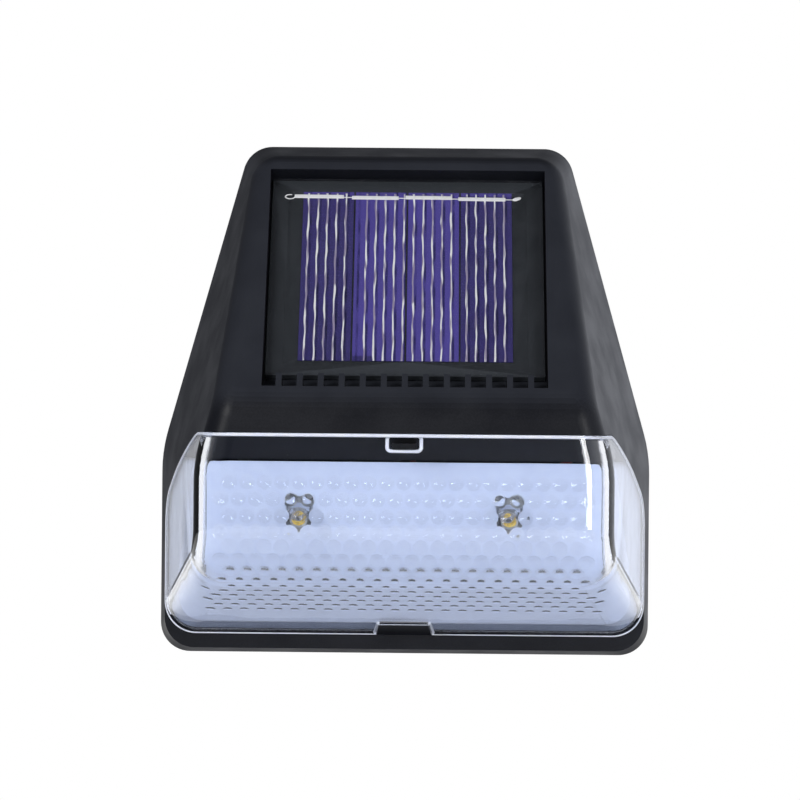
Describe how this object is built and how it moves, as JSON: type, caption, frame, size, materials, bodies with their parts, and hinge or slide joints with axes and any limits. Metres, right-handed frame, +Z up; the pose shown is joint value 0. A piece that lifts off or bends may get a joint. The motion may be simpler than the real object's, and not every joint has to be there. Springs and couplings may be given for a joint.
{
  "type": "fence light",
  "caption": "Wedge-shaped solar fence light: recessed solar panel on the slope, clear dimpled lens over a slanted reflector with two emitters, flat back with keyholes.",
  "frame": {"origin": "middle of the flat back, on the wall", "axes": "+X to the right seen from the front, +Y into the wall, +Z up"},
  "size_m": [0.096, 0.045, 0.0996],
  "materials": {
    "black_shell": "fine moulded texture",
    "black_back": "fine moulded texture",
    "clear_lens": "clear, dimpled inside",
    "white_reflector": "satin white",
    "led_epoxy": "clear epoxy",
    "led_phosphor": "matt yellow",
    "led_metal": "tinned",
    "board_green": "solder mask",
    "board_white": "white solder mask",
    "screw_steel": "zinc plated",
    "chip_black": "moulded",
    "resistor_black": "ceramic body",
    "capacitor_sleeve": "shrunk sleeve",
    "coil_core": "ferrite",
    "panel_base": "dark laminate",
    "panel_cells": "crystalline",
    "panel_silver": "printed silver",
    "panel_resin": "clear epoxy",
    "foam_pad": "foam",
    "gasket_rubber": "soft",
    "battery_sleeve": "green shrunk sleeve",
    "contact_metal": "nickel plated",
    "cradle_black": "moulded",
    "switch_case": "moulded",
    "switch_knob": "moulded",
    "lead_red": "insulated lead",
    "lead_black": "insulated lead"
  },
  "bodies": {
    "light": {"back_cover": "black_back", "battery": "battery_sleeve", "battery_cradle": "cradle_black", "battery_lead_black": "lead_black", "battery_lead_red": "lead_red", "boost_coil": "coil_core", "capacitor": "capacitor_sleeve", "contact_minus": "contact_metal", "contact_plus": "contact_metal", "control_chip": "chip_black", "cover_gasket": "gasket_rubber", "cover_screws": "screw_steel", "cradle_screws": "screw_steel", "front_housing": "black_shell", "led_board": "board_white", "led_board_screws": "screw_steel", "led_lead_black": "lead_black", "led_lead_red": "lead_red", "led_left_body": "led_epoxy", "led_left_frame": "led_metal", "led_left_phosphor": "led_phosphor", "led_resistors": "resistor_black", "led_right_body": "led_epoxy", "led_right_frame": "led_metal", "led_right_phosphor": "led_phosphor", "lens": "clear_lens", "main_board": "board_green", "main_board_screws": "screw_steel", "panel_board": "panel_base", "panel_busbar": "panel_silver", "panel_lead_black": "lead_black", "panel_lead_red": "lead_red", "panel_pad": "foam_pad", "panel_resin": "panel_resin", "reflector": "white_reflector", "solar_cells": "panel_cells", "switch_body": "switch_case"},
    "knob": {"switch_knob": "switch_knob"}
  },
  "joints": [
    {"name": "switch_slide", "type": "slide", "parent": "light", "child": "knob", "axis": [1, 0, 0], "range_m": [0, 0.002]}
  ]
}
